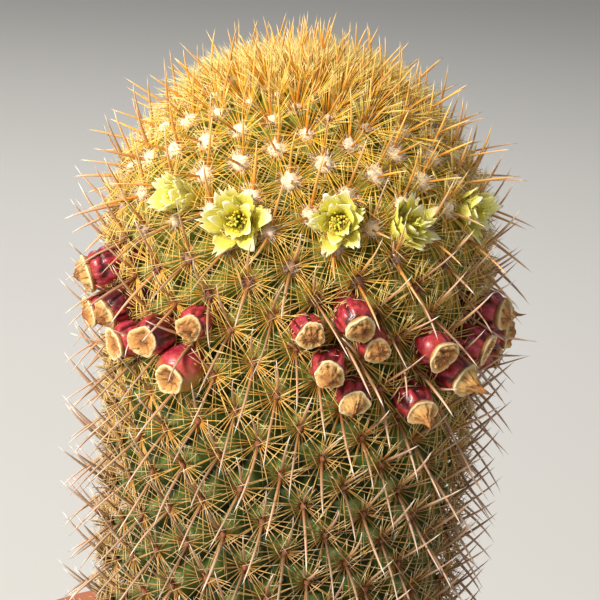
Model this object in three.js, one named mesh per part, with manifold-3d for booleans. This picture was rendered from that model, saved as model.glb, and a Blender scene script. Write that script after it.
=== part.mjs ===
// Potted mammillaria: a short column of spined tubercles with a ring of pale flowers on its
// shoulder and a band of red berries below it, rooted in gritty soil in a plain clay pot.
// Millimetres, +Z up. The origin is the centre of the pot's underside.
import * as THREE from "three";
import { ConvexGeometry } from "three/addons/geometries/ConvexGeometry.js";
import { ConvexHull } from "three/addons/math/ConvexHull.js";
import { mergeVertices } from "three/addons/utils/BufferGeometryUtils.js";
import Module from "manifold-3d";

const wasm = await Module();
wasm.setup();

// Clearance between pieces that touch on the real plant
const GAP = 0.35;

// Pot
const POT_HEIGHT = 88;
const POT_RIM_RADIUS = 48;
const POT_BAND_HEIGHT = 17;
const POT_BAND_STEP = 3;
const POT_FOOT_RADIUS = 33;
const POT_WALL = 5;
const POT_FLOOR = 7;
const POT_LEAN_IN = 1; // how far the band narrows towards its foot
const POT_EDGE = 1.2; // bevel of the pot's edges
const DRAIN_RADIUS = 6;
const POT_SIDES = 36;

// Soil
const SOIL_BELOW_RIM = 9;
const SOIL_CROWN = 0.7; // how much higher the soil lies round the plant than at the pot's wall
const SOIL_CROWN_RADIUS = 28;
const SOIL_TOP = POT_HEIGHT - SOIL_BELOW_RIM;

// Stem, measured at the areoles, the woolly tips of the tubercles that carry the spines
const STEM_ABOVE_SOIL = 103;
const CROWN = SOIL_TOP + STEM_ABOVE_SOIL;
const STEM_RADIUS = 25;
const DOME_DEPTH = 22;
const STEM_TAPER = 0.02; // the column narrows by this much for each unit of depth
const NECK_RADIUS = 20;
const NECK_SIDES = 20;
const NECK_ABOVE_SOIL = 0.8;
const FOOT_RADIUS = 14;
const FOOT_BELOW_SOIL = 24;
const LOWEST_AREOLE_ABOVE_SOIL = 4.5;
const PROFILE_STEP = 1 / 2000; // as a share of the dome, for walking down the profile

// Tubercles in spirals: each areole is turned from the last by the golden angle
const GOLDEN_ANGLE = Math.PI * (3 - Math.sqrt(5));
const FIRST_ANGLE = THREE.MathUtils.degToRad(300);
const TUBERCLE_AREA = 31.4; // on the column; it shrinks towards the crown
const AREA_POWER = 0.8; // tubercle area follows the stem's own radius to this power
const TUBERCLE_HEIGHT = 4.4;
const AREOLE_HALF_WIDTH = 0.4;
const AREOLE_HALF_HEIGHT = 0.62;
const AXIL_STEP = 34; // an axil lies midway between an areole and the one this far back

// Two central spines on each areole, one up and one down, shorter and drawn towards the crown on
// the shoulder
const SPINE_LENGTH_CROWN = 7.7;
const SPINE_LENGTH = 9.1;
const SPINE_FULL_DEPTH = 27; // where the spines have reached their full length
const SPINE_GATHER = THREE.MathUtils.degToRad(9);
const SPINE_LENGTH_SPREAD = 1.2;
const SPINE_TILT_COLUMN = THREE.MathUtils.degToRad(46); // away from square to the stem
const SPINE_TILT_CROWN = THREE.MathUtils.degToRad(20);
const SPINE_SIDEWAYS = THREE.MathUtils.degToRad(-7); // turns both the same way round the areole
const SPINE_SPREAD = THREE.MathUtils.degToRad(6);
const SPINE_CLEARANCE = 0.75; // between the centre lines of two spines
const SPINE_TO_BLOOM = 0.5; // between a spine's centre line and a flower, a berry or the soil
const SPINE_SAMPLES = 10; // points along a spine that are tested
const NEIGHBOUR_DISTANCE = 22;

// Flowers and berries are round pieces with this many sides
const BLOOM_SIDES = 6;
const SOCKET_PAST_AREOLES = 0.4;

// Flowers in a broken ring: the axils that hold one, counted from the crown, how far each flower
// leans towards the crown and to the right, in degrees, from square to the stem, and how far it
// has opened
const FLOWERS = [
  { axil: 133, lift: -12, sway: -14, open: 0.4 },
  { axil: 136, lift: -9, sway: -20, open: 0.8 },
  { axil: 139, lift: -20, sway: -6, open: 0.7 },
  { axil: 140, lift: 8, sway: 0, open: 1 },
  { axil: 141, lift: -8, sway: 8, open: 1 },
  { axil: 144, lift: 12, sway: 16, open: 0.8 },
  { axil: 145, lift: 8, sway: 0, open: 0.9 },
  { axil: 148, lift: 0, sway: 12, open: 1 },
  { axil: 150, lift: 4, sway: -8, open: 0.6 },
];
const FLOWER_ROOT = 4.6; // how deep the tube stands below the areoles
const TUBE_PROFILE = [
  [0, 0],
  [2.5, 5],
  [0, 5],
];
const PETAL_RINGS = [
  { count: 7, radius: 1.2, height: 4.6, length: 6.2, width: 2.4, lean: 30, turn: 0 },
  { count: 5, radius: 0.5, height: 4.6, length: 6, width: 1.9, lean: 13, turn: 20 },
];
const PETAL_ROOT_SHARE = 0.3; // width of a petal's root beside its widest
const PETAL_WIDEST = 0.6; // how far along the blade it is widest
const PETAL_THICKNESS = 0.65;
const STIGMA_RADIUS = 0.45;
const STIGMA_TOP = 10.2;
const FLOWER_REACH = [
  [0, 0],
  [4.6, 2.4],
  [6.8, 3],
  [9.6, 4],
  [10.6, 2.4],
];

// Berries: the axils that hold one, counted from the crown
const BERRY_AXILS = [
  191, 193, 197, 200, 204, 208, 209, 210, 212, 213, 214, 215, 218, 219, 220, 221, 222, 223, 224,
  225, 227, 228, 229, 234, 235, 236, 237, 239, 241, 243, 246, 250, 254, 257,
];
const PLUMP_BERRY_AXIL = 243;
const PLUMP_BERRY_SCALE = 1.1;
const PLUMP_BERRY_WIDTH = 1.3; // how much stouter it is than its length gives it
const BERRY_SCALE_LEAST = 0.96;
const BERRY_SCALE_SPREAD = 0.2;
const BERRY_ROOT = 4.4;
const BERRY_DROOP = THREE.MathUtils.degToRad(13);
const BERRY_SPREAD = THREE.MathUtils.degToRad(12);
const BERRY_PROFILE = [
  [0, 0],
  [1.9, 4.4],
  [2.1, 6.4],
  [1.7, 8.2],
  [1.95, 8.6],
  [1.3, 9.8],
  [0, 10.4],
];

// Directions tried for a piece that has to stay clear of its neighbours
const LEAN_STEP = THREE.MathUtils.degToRad(6);
const LEAN_RINGS = 7;
const COMPASS = 8;
const SHORTER_SPINES = [1, 0.75, 0.5, 0.3];

// A number from 0 to 1 that looks random but is fixed by the piece's number and a salt
function chance(index, salt) {
  const wave = Math.sin(index * 12.9898 + salt * 78.233) * 43758.5453;
  return wave - Math.floor(wave);
}

function spread(index, salt, size) {
  return (2 * chance(index, salt) - 1) * size;
}

// Radius and depth of the areole surface at t: a quarter ellipse for t from 0 to 1, then the column
function stemProfile(t) {
  if (t < 1) {
    const polar = (t * Math.PI) / 2;
    return {
      radius: STEM_RADIUS * Math.sin(polar),
      depth: DOME_DEPTH * (1 - Math.cos(polar)),
    };
  }
  const below = (t - 1) * STEM_RADIUS;
  return { radius: STEM_RADIUS - STEM_TAPER * below, depth: DOME_DEPTH + below };
}

// The frame at a place on the stem: out is square to the surface, up runs to the crown and side
// is to the right for someone who faces the plant
function stemFrame(angle, radius, depth) {
  const rise = Math.max(DOME_DEPTH - depth, 0);
  const slope = new THREE.Vector2(radius / STEM_RADIUS ** 2, rise / DOME_DEPTH ** 2).normalize();
  const outward = new THREE.Vector3(Math.cos(angle), Math.sin(angle), 0);
  const point = outward.clone().multiplyScalar(radius);
  point.z = CROWN - depth;
  const out = outward.clone().multiplyScalar(slope.x);
  out.z = slope.y;
  const up = outward.clone().multiplyScalar(-slope.y);
  up.z = slope.x;
  const side = new THREE.Vector3().crossVectors(up, out);
  return { angle, radius, depth, point, out, up, side };
}

// Areoles from the crown down: one is set each time the surface walked over adds up to the area
// of one tubercle
function makeAreoles() {
  const areoles = [];
  const lowest = STEM_ABOVE_SOIL - LOWEST_AREOLE_ABOVE_SOIL;
  let count = 0.5;
  let here = stemProfile(0);
  for (let t = PROFILE_STEP; here.depth < lowest; t += PROFILE_STEP) {
    const next = stemProfile(t);
    const length = Math.hypot(next.radius - here.radius, next.depth - here.depth);
    const radius = (next.radius + here.radius) / 2;
    const area = TUBERCLE_AREA * (radius / STEM_RADIUS) ** AREA_POWER;
    count += (2 * Math.PI * radius * length) / area;
    if (count >= areoles.length + 1) {
      const angle = FIRST_ANGLE + areoles.length * GOLDEN_ANGLE;
      areoles.push(stemFrame(angle, next.radius, next.depth));
    }
    here = next;
  }
  return areoles;
}

const areoles = makeAreoles();

// How large a tubercle at this radius is beside one on the column
function tubercleScale(radius) {
  return (radius / STEM_RADIUS) ** (AREA_POWER / 2);
}

// The frame of the axil above an areole, at the level of the areoles round it
function axilFrame(index) {
  const below = areoles[index];
  const above = areoles[index - AXIL_STEP];
  const point = below.point.clone().add(above.point).multiplyScalar(0.5);
  const angle = Math.atan2(point.y, point.x);
  const frame = stemFrame(angle, Math.hypot(point.x, point.y), CROWN - point.z);
  frame.point.copy(point);
  return frame;
}

// A closed geometry as a solid that can be joined and cut
function solidOf(geometry) {
  const bare = geometry.index ? geometry.toNonIndexed() : geometry.clone();
  bare.deleteAttribute("normal");
  bare.deleteAttribute("uv");
  const merged = mergeVertices(bare, 1e-4);
  const corners = merged.index.array;
  const kept = [];
  for (let i = 0; i < corners.length; i += 3) {
    const [a, b, c] = corners.slice(i, i + 3);
    if (a !== b && b !== c && c !== a) kept.push(a, b, c);
  }
  return new wasm.Manifold(
    new wasm.Mesh({
      numProp: 3,
      vertProperties: merged.attributes.position.array,
      triVerts: Uint32Array.from(kept),
    }),
  );
}

// The solid's largest body as a geometry, without the scraps that a cut leaves loose
function geometryOf(solid) {
  const bodies = solid.decompose();
  bodies.sort((a, b) => b.volume() - a.volume());
  const mesh = bodies[0].getMesh();
  const geometry = new THREE.BufferGeometry();
  geometry.setAttribute("position", new THREE.BufferAttribute(mesh.vertProperties, 3));
  geometry.setIndex(new THREE.BufferAttribute(mesh.triVerts, 1));
  geometry.computeVertexNormals();
  return geometry;
}

// A profile of [radius, height] points turned about Z
function turned(profile, sides) {
  const points = profile.map(([radius, height]) => new THREE.Vector2(radius, height));
  return new THREE.LatheGeometry(points, sides).rotateX(Math.PI / 2);
}

// Moves a geometry modelled along +Z from the origin to a body's root and direction
function placed(geometry, body) {
  const turn = new THREE.Quaternion();
  turn.setFromUnitVectors(new THREE.Vector3(0, 0, 1), body.direction);
  return geometry.applyQuaternion(turn).translate(...body.root.toArray());
}

function reachAt(reach, distance) {
  for (let i = 1; i < reach.length; i++) {
    const [from, radius] = reach[i - 1];
    const [to, next] = reach[i];
    if (distance <= to) {
      return THREE.MathUtils.lerp(radius, next, Math.max(0, distance - from) / (to - from));
    }
  }
  return reach[reach.length - 1][1];
}

// Distance from a point to the surface of a round body with a root, a direction and a reach
function gapTo(body, point) {
  const length = body.reach[body.reach.length - 1][0];
  const along = point.clone().sub(body.root).dot(body.direction);
  const distance = THREE.MathUtils.clamp(along, 0, length);
  const onAxis = body.root.clone().addScaledVector(body.direction, distance);
  return onAxis.distanceTo(point) - reachAt(body.reach, distance);
}

function bodiesAreClear(body, others) {
  return others.every((other) =>
    body.reach.every(([distance, radius]) => {
      const point = body.root.clone().addScaledVector(body.direction, distance);
      return gapTo(other, point) > radius + GAP;
    }),
  );
}

// The first direction that passes the test: the wanted one, then rings of directions round it
function firstClear(wanted, isClear) {
  const across = new THREE.Vector3(-wanted.y, wanted.x, 0).normalize();
  for (let ring = 0; ring <= LEAN_RINGS; ring++) {
    for (let step = 0; step < (ring === 0 ? 1 : COMPASS); step++) {
      const axis = across.clone().applyAxisAngle(wanted, (step * 2 * Math.PI) / COMPASS);
      const tried = wanted.clone().applyAxisAngle(axis, ring * LEAN_STEP);
      if (isClear(tried)) return tried;
    }
  }
  return null;
}

// Places a round body through the middle of an axil, leaning clear of those placed before it
function rootedBody(frame, depth, wanted, reach, others) {
  const leaning = (direction) => {
    const root = frame.point.clone().addScaledVector(direction, -depth);
    return { root, direction, reach };
  };
  const direction = firstClear(wanted, (tried) => bodiesAreClear(leaning(tried), others));
  if (!direction) throw new Error("no room for a bloom");
  return leaning(direction);
}

function placeFlowers() {
  const flowers = [];
  for (const { axil, lift, sway, open } of FLOWERS) {
    const frame = axilFrame(axil);
    const wanted = frame.out.clone().applyAxisAngle(frame.side, -THREE.MathUtils.degToRad(lift));
    wanted.applyAxisAngle(frame.up, THREE.MathUtils.degToRad(sway));
    const flower = rootedBody(frame, FLOWER_ROOT, wanted, FLOWER_REACH, flowers);
    flowers.push({ ...flower, open, cone: TUBE_PROFILE[1] });
  }
  return flowers;
}

function placeBerries() {
  const berries = [];
  for (const axil of BERRY_AXILS) {
    const frame = axilFrame(axil);
    const plump = axil === PLUMP_BERRY_AXIL;
    const scale = plump ? PLUMP_BERRY_SCALE : BERRY_SCALE_LEAST + chance(axil, 1) * BERRY_SCALE_SPREAD;
    const wanted = frame.out.clone();
    const droop = plump ? 0 : BERRY_DROOP + spread(axil, 2, BERRY_SPREAD);
    wanted.applyAxisAngle(frame.side, droop);
    wanted.applyAxisAngle(frame.up, spread(axil, 3, BERRY_SPREAD));
    const width = plump ? PLUMP_BERRY_WIDTH * scale : scale;
    const profile = BERRY_PROFILE.map(([radius, height]) => [radius * width, height * scale]);
    const reach = profile.slice(1, 5).map(([radius, height]) => [height, radius]);
    const berry = rootedBody(frame, BERRY_ROOT, wanted, reach, berries);
    berries.push({ ...berry, profile, cone: profile[1] });
  }
  return berries;
}

const flowers = placeFlowers();
const berries = placeBerries();

// A lance-shaped petal blade with a ridge along its back, modelled along +Z
function petalBlade({ length, width }) {
  const section = (height, share) => [
    new THREE.Vector3(0, (width / 2) * share, height),
    new THREE.Vector3(0, (-width / 2) * share, height),
    new THREE.Vector3(PETAL_THICKNESS, 0, height),
  ];
  const root = section(0, PETAL_ROOT_SHARE);
  const middle = section(length * PETAL_WIDEST, 1);
  return new ConvexGeometry([...root, ...middle, new THREE.Vector3(0, 0, length)]);
}

// A flower: a slender tube, two rings of leaning petals and a pointed stigma
function flowerGeometry(body) {
  let solid = solidOf(turned(TUBE_PROFILE, BLOOM_SIDES));
  for (const ring of PETAL_RINGS) {
    for (let i = 0; i < ring.count; i++) {
      const blade = petalBlade(ring).rotateY(THREE.MathUtils.degToRad(ring.lean * body.open));
      blade.translate(ring.radius, 0, ring.height);
      blade.rotateZ(THREE.MathUtils.degToRad(ring.turn) + (i * 2 * Math.PI) / ring.count);
      solid = solid.add(solidOf(blade));
    }
  }
  const stigma = new THREE.ConeGeometry(STIGMA_RADIUS, STIGMA_TOP - FLOWER_ROOT, 3);
  stigma.rotateX(Math.PI / 2).translate(0, 0, (STIGMA_TOP + FLOWER_ROOT) / 2);
  return placed(geometryOf(solid.add(solidOf(stigma))), body);
}

// The hole that a flower or a berry stands in: the cone of its root, moved out by the gap on all
// sides, up to just past the areoles
function socketSolid({ root, direction, cone: [radius, length] }) {
  const deeper = (GAP * Math.hypot(radius, length)) / radius;
  const mouthHeight = length + SOCKET_PAST_AREOLES;
  const mouthRadius = (radius / length) * (mouthHeight + deeper);
  const profile = [[0, -deeper], [mouthRadius, mouthHeight], [0, mouthHeight]];
  return solidOf(placed(turned(profile, BLOOM_SIDES), { root, direction }));
}

// The spine that an areole would grow with nothing in its way; sign is 1 for up and -1 for down
function wantedSpine(areole, index, sign) {
  const share = Math.min(areole.depth / DOME_DEPTH, 1);
  const tilt = THREE.MathUtils.lerp(SPINE_TILT_CROWN, SPINE_TILT_COLUMN, share);
  const direction = areole.out.clone();
  const young = Math.min(areole.depth / SPINE_FULL_DEPTH, 1);
  const gather = SPINE_GATHER * Math.sin(Math.PI * young);
  const lean = sign * (tilt + spread(index, 4 + sign, SPINE_SPREAD)) + gather;
  direction.applyAxisAngle(areole.side, -lean);
  direction.applyAxisAngle(areole.out, SPINE_SIDEWAYS + spread(index, 7 + sign, SPINE_SPREAD));
  const start = areole.point.clone().addScaledVector(areole.up, (sign * AREOLE_HALF_HEIGHT) / 3);
  const grown = THREE.MathUtils.lerp(SPINE_LENGTH_CROWN, SPINE_LENGTH, young ** 2);
  const length = grown + spread(index, 10 + sign, SPINE_LENGTH_SPREAD);
  return { start, direction, length };
}

function spineIsClear(spine, spines, bodies) {
  if (spine.line.end.z < SOIL_TOP + SPINE_TO_BLOOM) return false;
  const tooNear = (other) =>
    other.areole !== spine.areole &&
    spine.line.distanceSqToLine3(other.line) < SPINE_CLEARANCE ** 2;
  if (spines.some(tooNear)) return false;
  const samples = Array.from({ length: SPINE_SAMPLES }, (_, i) =>
    spine.line.at((i + 1) / SPINE_SAMPLES, new THREE.Vector3()),
  );
  return bodies.every((body) => samples.every((point) => gapTo(body, point) > SPINE_TO_BLOOM));
}

// The wanted spine, bent clear of its neighbours, or failing that a shorter one; null if no
// direction is clear
function grownSpine(areole, index, sign, spines, bodies) {
  const { start, direction, length } = wantedSpine(areole, index, sign);
  for (const share of SHORTER_SPINES) {
    const spineAlong = (tried) => {
      const tip = start.clone().addScaledVector(tried, length * share);
      return { areole: index, line: new THREE.Line3(start, tip) };
    };
    const isClear = (tried) => spineIsClear(spineAlong(tried), spines, bodies);
    const clear = firstClear(direction, isClear);
    if (clear) return spineAlong(clear);
  }
  return null;
}

// Tips of the up and down spines of every areole; a spine with no room stays a low stub
function placeSpines() {
  const bodies = [...flowers, ...berries];
  const spines = [];
  return areoles.map((areole, index) => {
    const isNear = (point) => point.distanceTo(areole.point) < NEIGHBOUR_DISTANCE;
    const nearBodies = bodies.filter(({ root }) => isNear(root));
    return [1, -1].map((sign) => {
      const nearSpines = spines.filter(({ line }) => isNear(line.start));
      const spine = grownSpine(areole, index, sign, nearSpines, nearBodies);
      if (!spine) return areole.point.clone().addScaledVector(areole.out, AREOLE_HALF_WIDTH);
      spines.push(spine);
      return spine.line.end;
    });
  });
}

// A place on a unit ball for each place on the stem, so that neighbours stay neighbours
function onBall(angle, depth) {
  const rise = 1 - depth / DOME_DEPTH;
  const polar = rise > 0 ? Math.acos(rise) : 2 * Math.atan(Math.exp((-rise * DOME_DEPTH) / STEM_RADIUS));
  return new THREE.Vector3().setFromSphericalCoords(1, polar, angle);
}

// Points of the plain neck and foot that stand in the soil
function neckPoints() {
  const rings = [
    [NECK_RADIUS, STEM_ABOVE_SOIL - NECK_ABOVE_SOIL],
    [FOOT_RADIUS, STEM_ABOVE_SOIL + FOOT_BELOW_SOIL],
  ];
  return rings.flatMap(([radius, depth]) =>
    Array.from({ length: NECK_SIDES }, (_, i) => {
      const angle = (i * 2 * Math.PI) / NECK_SIDES;
      return stemFrame(angle, radius, depth);
    }),
  );
}

// The stem: a hull over the areoles says which are neighbours. Each hull face becomes an axil
// point on the core, and each areole a cone that rises from the axils round it and ends in two
// spines
function stemGeometry() {
  const plain = neckPoints();
  const sites = [...areoles, ...plain];
  const balls = sites.map(({ angle, depth }) => onBall(angle, depth));
  const siteOf = new Map(balls.map((ball, index) => [ball, index]));
  const vertices = [];
  const triangles = [];
  const addVertex = (point) => vertices.push(point) - 1;
  const isAreole = (site) => site < areoles.length;
  const plainVertex = plain.map(({ point }) => addVertex(point));
  const vertexOf = (site) => plainVertex[site - areoles.length];
  const bedOf = (site) => {
    const { point, out, radius } = sites[site];
    const depth = isAreole(site) ? TUBERCLE_HEIGHT * tubercleScale(radius) : 0;
    return point.clone().addScaledVector(out, -depth);
  };
  const rings = areoles.map(() => []);
  const mixedFaces = [];
  const axilAcross = new Map();
  for (const face of new ConvexHull().setFromPoints(balls).faces) {
    const corners = [0, 1, 2].map((i) => siteOf.get(face.getEdge(i).head().point));
    if (!corners.some(isAreole)) {
      triangles.push(corners.map(vertexOf));
      continue;
    }
    const centre = new THREE.Vector3();
    corners.forEach((site) => centre.addScaledVector(bedOf(site), 1 / 3));
    const axil = addVertex(centre);
    mixedFaces.push({ corners, axil });
    corners.forEach((site, i) => {
      if (isAreole(site)) rings[site].push(axil);
      axilAcross.set(`${site},${corners[(i + 1) % 3]}`, axil);
    });
  }
  for (const { corners, axil } of mixedFaces) {
    corners.forEach((from, i) => {
      const to = corners[(i + 1) % 3];
      if (isAreole(from)) return;
      if (isAreole(to)) triangles.push([vertexOf(from), axilAcross.get(`${to},${from}`), axil]);
      else triangles.push([vertexOf(from), vertexOf(to), axil]);
    });
  }
  const tips = placeSpines();
  areoles.forEach((areole, index) => {
    addTubercle(areole, rings[index], tips[index], vertices, triangles, addVertex);
  });
  const geometry = new THREE.BufferGeometry().setFromPoints(vertices);
  geometry.setIndex(triangles.flat());
  return geometry;
}

// One tubercle: the ring of axil points is zipped to a small lozenge, whose upper half runs out
// into the up spine and whose lower half into the down spine
function addTubercle(areole, ring, [upTip, downTip], vertices, triangles, addVertex) {
  const bearing = (vertex) => {
    const from = vertices[vertex].clone().sub(areole.point);
    return (Math.atan2(from.dot(areole.up), from.dot(areole.side)) + 2 * Math.PI) % (2 * Math.PI);
  };
  const corner = (side, up) =>
    addVertex(
      areole.point
        .clone()
        .addScaledVector(areole.side, side * AREOLE_HALF_WIDTH)
        .addScaledVector(areole.up, up * AREOLE_HALF_HEIGHT),
    );
  const right = corner(1, 0);
  const top = corner(0, 1);
  const left = corner(-1, 0);
  const bottom = corner(0, -1);
  const lozenge = [right, top, left, bottom];
  const stops = ring.map((vertex) => ({ vertex, angle: bearing(vertex), outer: true }));
  lozenge.forEach((vertex, i) => stops.push({ vertex, angle: (i * Math.PI) / 2, outer: false }));
  stops.sort((a, b) => a.angle - b.angle);
  let outer = stops.filter((stop) => stop.outer).pop().vertex;
  let inner = bottom;
  for (const stop of stops) {
    triangles.push([outer, stop.vertex, inner]);
    if (stop.outer) outer = stop.vertex;
    else inner = stop.vertex;
  }
  const upVertex = addVertex(upTip);
  const downVertex = addVertex(downTip);
  triangles.push([right, top, upVertex], [top, left, upVertex], [left, right, upVertex]);
  triangles.push([left, bottom, downVertex], [bottom, right, downVertex], [right, left, downVertex]);
}

function stemSolid() {
  let solid = solidOf(stemGeometry());
  for (const body of [...flowers, ...berries]) solid = solid.subtract(socketSolid(body));
  return solid;
}

// Outer radius of the wall below the band at a height
function potWallRadius(height) {
  const top = POT_RIM_RADIUS - POT_LEAN_IN - POT_BAND_STEP;
  return THREE.MathUtils.lerp(POT_FOOT_RADIUS, top, height / POT_HEIGHT);
}

// The clay pot: a leaning wall, a thicker band round the mouth and a floor with a drain hole
function potGeometry() {
  const bandBottom = POT_HEIGHT - POT_BAND_HEIGHT;
  const profile = [
    [DRAIN_RADIUS, 0],
    [POT_FOOT_RADIUS - POT_EDGE, 0],
    [potWallRadius(POT_EDGE), POT_EDGE],
    [potWallRadius(bandBottom), bandBottom],
    [POT_RIM_RADIUS - POT_LEAN_IN - POT_EDGE, bandBottom],
    [POT_RIM_RADIUS - POT_LEAN_IN, bandBottom + POT_EDGE],
    [POT_RIM_RADIUS, POT_HEIGHT - POT_EDGE],
    [POT_RIM_RADIUS - POT_EDGE, POT_HEIGHT],
    [potWallRadius(POT_HEIGHT) - POT_WALL + POT_EDGE, POT_HEIGHT],
    [potWallRadius(POT_HEIGHT) - POT_WALL, POT_HEIGHT - POT_EDGE],
    [potWallRadius(POT_FLOOR) - POT_WALL, POT_FLOOR],
    [DRAIN_RADIUS, POT_FLOOR],
    [DRAIN_RADIUS, 0],
  ];
  return turned(profile, POT_SIDES);
}

// The soil fills the pot to below its rim and keeps a plain hole for the stem's neck and foot
function soilGeometry() {
  const wall = (height) => potWallRadius(height) - POT_WALL - GAP;
  const bottom = POT_FLOOR + GAP;
  const profile = [
    [0, bottom],
    [wall(bottom), bottom],
    [wall(SOIL_TOP), SOIL_TOP - SOIL_CROWN],
    [SOIL_CROWN_RADIUS, SOIL_TOP],
    [NECK_RADIUS + GAP, SOIL_TOP],
    [FOOT_RADIUS + GAP, SOIL_TOP - FOOT_BELOW_SOIL - GAP],
    [0, SOIL_TOP - FOOT_BELOW_SOIL - GAP],
  ];
  return turned(profile, POT_SIDES);
}

// Looks
const finish = (color, roughness) =>
  new THREE.MeshStandardMaterial({ color, roughness, metalness: 0 });
const CLAY = finish(0xb56a45, 0.85);
const GRIT = finish(0x5a4a3a, 0.95);
const STEM_SKIN = finish(0x8a8f45, 0.7);
const PETAL = finish(0xe6d477, 0.6);
const BERRY_SKIN = finish(0xa93a48, 0.45);

const plant = new THREE.Group();

function addPiece(name, geometry, material) {
  const mesh = new THREE.Mesh(geometry, material.clone());
  mesh.name = name;
  plant.add(mesh);
}

const numbered = (name, index) => `${name}_${String(index + 1).padStart(2, "0")}`;

addPiece("pot", potGeometry(), CLAY);
addPiece("soil", soilGeometry(), GRIT);
addPiece("stem", geometryOf(stemSolid()), STEM_SKIN);
flowers.forEach((body, i) => addPiece(numbered("flower", i), flowerGeometry(body), PETAL));
berries.forEach((body, i) => {
  const berry = placed(turned(body.profile, BLOOM_SIDES), body);
  addPiece(numbered("berry", i), berry, BERRY_SKIN);
});

export default plant;
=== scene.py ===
"""Looks of a potted mammillaria: a short spined column with pale flowers and red berries.

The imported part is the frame. Shapes are worked out in millimetres in that same frame, +Z up, with
the origin at the centre of the pot's underside, and go into the meshes in metres.
"""

from types import SimpleNamespace

import bpy
import numpy as np
from mathutils import Matrix, Vector


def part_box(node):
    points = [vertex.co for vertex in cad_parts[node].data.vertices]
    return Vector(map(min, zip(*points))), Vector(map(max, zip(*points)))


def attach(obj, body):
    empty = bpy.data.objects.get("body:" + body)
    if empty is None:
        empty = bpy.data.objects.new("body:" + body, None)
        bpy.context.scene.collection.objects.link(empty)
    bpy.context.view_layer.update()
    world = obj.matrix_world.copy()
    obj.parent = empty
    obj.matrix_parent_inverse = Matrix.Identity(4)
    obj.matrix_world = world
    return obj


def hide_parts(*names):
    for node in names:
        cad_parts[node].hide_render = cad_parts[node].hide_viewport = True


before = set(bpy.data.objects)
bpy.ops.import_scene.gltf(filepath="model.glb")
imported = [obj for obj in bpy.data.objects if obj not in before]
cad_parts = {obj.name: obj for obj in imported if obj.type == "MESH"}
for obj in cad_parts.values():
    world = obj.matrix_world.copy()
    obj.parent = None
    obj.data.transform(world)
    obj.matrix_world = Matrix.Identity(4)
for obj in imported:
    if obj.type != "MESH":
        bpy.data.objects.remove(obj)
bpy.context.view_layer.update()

MM = 0.001
UPWARD = np.array([0.0, 0.0, 1.0])

# Stem, measured at the areoles, as in the part's source
SOIL_TOP = 79.0
STEM_ABOVE_SOIL = 103.0
CROWN = SOIL_TOP + STEM_ABOVE_SOIL
STEM_RADIUS = 25.0
DOME_DEPTH = 22.0
STEM_TAPER = 0.02
LOWEST_AREOLE_ABOVE_SOIL = 4.5
NECK_RADIUS = 20.0
NECK_ABOVE_SOIL = 0.8
FOOT_RADIUS = 14.0
FOOT_BELOW_SOIL = 24.0
GOLDEN_ANGLE = np.pi * (3 - np.sqrt(5))
FIRST_ANGLE = np.radians(300)
TUBERCLE_AREA = 31.4
AREA_POWER = 0.8
TUBERCLE_HEIGHT = 4.4
AXIL_STEP = 34

# Skin of the stem
SKIN_COLUMNS = 252
SKIN_STEP = 0.6
TUBERCLE_ROUNDNESS = 1.5

# Central spines, whose tips are read from the stem's node
CENTRAL_LEAST_LIFT = 0.8
CENTRAL_BASE = 0.22
CENTRAL_TIP = 0.035
CENTRAL_CROWN_SHARE = 0.84
CENTRAL_BOW = 0.65
CENTRAL_STRAY = 1.0
CENTRAL_SIDES = 5
CENTRAL_STATIONS = 7

# Radial spines
RADIAL_DEPTHS = [0.0, 18.0, 42.0]
RADIAL_COUNTS = [48, 42, 24]
RADIAL_BASES = [0.08, 0.09, 0.11]
RADIAL_LENGTH = 5.8
RADIAL_TIP = 0.025
RADIAL_LIFT_COLUMN = 22.0
RADIAL_LIFT_CROWN = 64.0
RADIAL_SETTLED_DEPTH = 8.5
RADIAL_TILT = 12.0
RADIAL_SIDES = 3
UPPER_RADIALS_DEPTH = 26.0

# Wool
WOOLLY_DEPTH = 12.0
TUFT_FIBRES = 70
TUFT_RADIUS = 1.5
BARE_PAD_RADIUS = 0.48
WOOL_SIDES = 3

# Blooms
FLOWER_AXILS = [133, 136, 139, 140, 141, 144, 145, 148, 150]
FLOWER_OPENING = [0.4, 0.8, 0.7, 1.0, 1.0, 0.8, 0.9, 1.0, 0.6]
FLOWER_ROOT = 4.6
STAMENS = 26
STIGMA_LOBES = 6
BERRY_AXILS = [
    191, 193, 197, 200, 204, 208, 209, 210, 212, 213, 214, 215, 218, 219, 220, 221, 222, 223, 224,
    225, 227, 228, 229, 234, 235, 236, 237, 239, 241, 243, 246, 250, 254, 257,
]  # fmt: skip
PLUMP_BERRY_AXIL = 243
BERRY_ROOT = 4.4
BERRY_LENGTH = 10.4
PLUMP_BERRY_WIDTH = 1.3
PLUMP_CAP_SHARE = 0.76

# Pot and soil
POT_RADIUS = 48.0
POT_HEIGHT = 88.0
POT_WALL = 5.0
POT_FOOT_RADIUS = 33.0
POT_WALL_TOP_RADIUS = 44.0
POT_BAND_RADIUS = 47.0
POT_BAND_HEIGHT = 17.0
POT_FLOOR = 7.0
DRAIN_RADIUS = 6.0
POT_COLUMNS = 144
SOIL_GAP = 0.35
SOIL_COLUMNS = 200
STONES = 520

# The photograph's view, in metres and degrees
CAMERA_TARGET = (0.0008, 0.0, 0.1503)
CAMERA_DISTANCE = 0.380
CAMERA_FRAME_WIDTH = 0.083
CAMERA_RISE = 17.6
CAMERA_ROLL = 4.0
LAMP_TARGET = (0, 0, 0.14)


# Random numbers, directions and curves


def chance(index, salt):
    """A fixed number from 0 to 1 for each index: the fraction of a steep sine of it."""
    wave = np.sin(np.asarray(index, float) * 12.9898 + salt * 78.233) * 43758.5453
    return wave - np.floor(wave)


def spread(index, salt, size):
    """A fixed number from -size to size for each index."""
    return (2 * chance(index, salt) - 1) * size


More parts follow.
